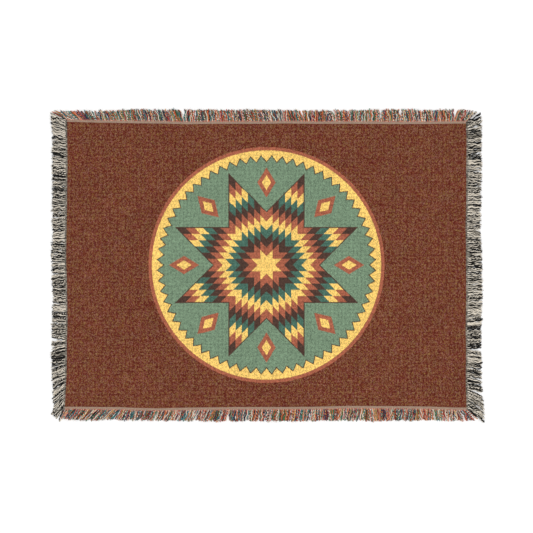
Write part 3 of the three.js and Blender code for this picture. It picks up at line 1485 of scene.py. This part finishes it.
    def dye(self, mesh: bpy.types.Mesh, count: int) -> None:
        """Keep the colours of both plies on the points, with roots in tones of their own.

        Args:
            mesh: The joined strands.
            count: The number of strands.
        """
        rng = self.rng
        first = draw_tones(rng, self.kind.tones, count, self.kind.tone_stray)
        mixed = rng.random(count) < self.kind.two_tone
        second = np.where(mixed[:, None], rng.permutation(first), first)
        for name, tone in zip(YarnFinish.plies, (first, second)):
            root = draw_tones(rng, self.kind.root_tones, count)
            fade = np.interp(np.arange(self.kind.rings), (0, self.kind.root_rings), (1, 0))[:, None]
            by_ring = tone[:, None, :] + fade * (root - tone)[:, None, :]
            layer = mesh.color_attributes.new(name, "FLOAT_COLOR", "POINT")
            by_point = np.repeat(by_ring.reshape(-1, 4), self.corners, axis=0)
            layer.data.foreach_set("color", by_point.astype(np.float32).ravel())

    def unroll(self, mesh: bpy.types.Mesh, paths: np.ndarray) -> None:
        """Keep each strand's run: round it in U, and its turns of twist in V.

        Args:
            mesh: The joined strands.
            paths: Points by strand and ring.
        """
        count = len(paths)
        steps = np.linalg.norm(np.diff(paths, axis=1), axis=2)
        run = np.concatenate((np.zeros((count, 1)), np.cumsum(steps, axis=1)), axis=1)
        run = run / self.rng.uniform(*self.twist_lead, (count, 1)) + self.rng.random((count, 1))
        turn = np.arange(self.corners) / self.corners
        start = np.broadcast_to(turn, (count, self.kind.rings - 1, self.corners))
        finish = start + 1 / self.corners
        low = np.broadcast_to(run[:, :-1, None], start.shape)
        high = np.broadcast_to(run[:, 1:, None], start.shape)
        walls = np.stack((start, low, finish, low, finish, high, start, high), axis=-1)
        ends = np.repeat(np.concatenate((run[:, -1], run[:, 0])), self.corners)
        caps = np.column_stack((np.tile(turn, 2 * count), ends))
        layer = mesh.uv_layers.new(name=YarnFinish.run)
        both = np.concatenate((walls.reshape(-1, 2), caps))
        layer.data.foreach_set("uv", both.astype(np.float32).ravel())


@dataclass
class Studio:
    """A white floor, soft light from above and a camera that looks straight down."""

    floor_side: float = 9.0
    floor_cells: int = 8
    floor_drop: float = 0.1 * MM
    sky: float = 1.0
    lamp_power: float = 19.0
    lamp_side: float = 4.0
    lamp_place: tuple[float, float, float] = (0.7, -0.9, 3.2)
    lens: float = 85.0
    sensor: float = 36.0
    middle_px: tuple[float, float] = (266.5, 265.0)

    def build(self, effects: Effects) -> bpy.types.Object:
        """Set the stage.

        Returns:
            The floor.
        """
        floor = self.lay_floor(effects)
        self.hang_light()
        self.set_camera()
        bpy.context.scene.view_settings.view_transform = "Standard"
        return floor

    def lay_floor(self, effects: Effects) -> bpy.types.Object:
        """Lay the floor under the cloth."""
        floor = add_grid("floor", self.floor_cells, self.floor_cells)
        points = read_points(floor) * self.floor_side / 2
        points[:, 2] = -self.floor_drop
        write_points(floor, points)
        floor.data.materials.append(FloorFinish(effects).material)
        return floor

    def hang_light(self) -> None:
        """Light the floor from a white sky and one large soft lamp."""
        world = bpy.data.worlds.new("studio_sky")
        world.use_nodes = True
        sky = world.node_tree.nodes["Background"].inputs
        sky["Color"].default_value = (1, 1, 1, 1)
        sky["Strength"].default_value = self.sky
        bpy.context.scene.world = world
        lamp = bpy.data.lights.new("soft_lamp", "AREA")
        lamp.size = self.lamp_side
        lamp.energy = self.lamp_power
        holder = bpy.data.objects.new("soft_lamp", lamp)
        holder.location = self.lamp_place
        holder.rotation_mode = "QUATERNION"
        holder.rotation_quaternion = (-Vector(self.lamp_place)).to_track_quat("-Z", "Y")
        bpy.context.scene.collection.objects.link(holder)

    def set_camera(self) -> None:
        """Look straight down, with the cloth where the picture has it."""
        view = bpy.data.cameras.new("view")
        view.lens = self.lens
        view.sensor_width = self.sensor
        holder = bpy.data.objects.new("view", view)
        bpy.context.scene.collection.objects.link(holder)
        frame_side = IMAGE_SIDE_PX * MM_PER_PX * MM
        away = frame_side * self.lens / self.sensor
        offset_px = np.array(self.middle_px) - IMAGE_SIDE_PX / 2
        middle = CLOTH_MIDDLE - offset_px * (1, -1) * MM_PER_PX * MM
        holder.location = (middle[0], middle[1], away)
        bpy.context.scene.camera = holder


FIRST_SEED = 11


def main() -> None:
    """Build the cloth, its strips and its fringe, and lay them on the floor."""
    logging.basicConfig(level=logging.INFO)
    effects = Effects(make_thread_cells(), make_medallion(MedallionPlan()), make_ply_twist())
    floor = Studio().build(effects)
    panel = WovenPanel()
    cloth = panel.build()
    panel.dress(cloth, effects)
    yarn = YarnFinish(effects)
    weaves = {kind: kind.strip_finish(effects) for kind in (WARP_TRIM, WEFT_TRIM)}
    trims = []
    for seed, (side, kind) in enumerate(TRIMS.items(), start=FIRST_SEED):
        strip, fringe = BackingStrip(side, kind), Fringe(side, kind, seed)
        band, ends = strip.build(), fringe.build()
        strip.dress(band, weaves[kind])
        fringe.dress(ends, yarn)
        trims += [band, ends]


if __name__ == "__main__":
    main()
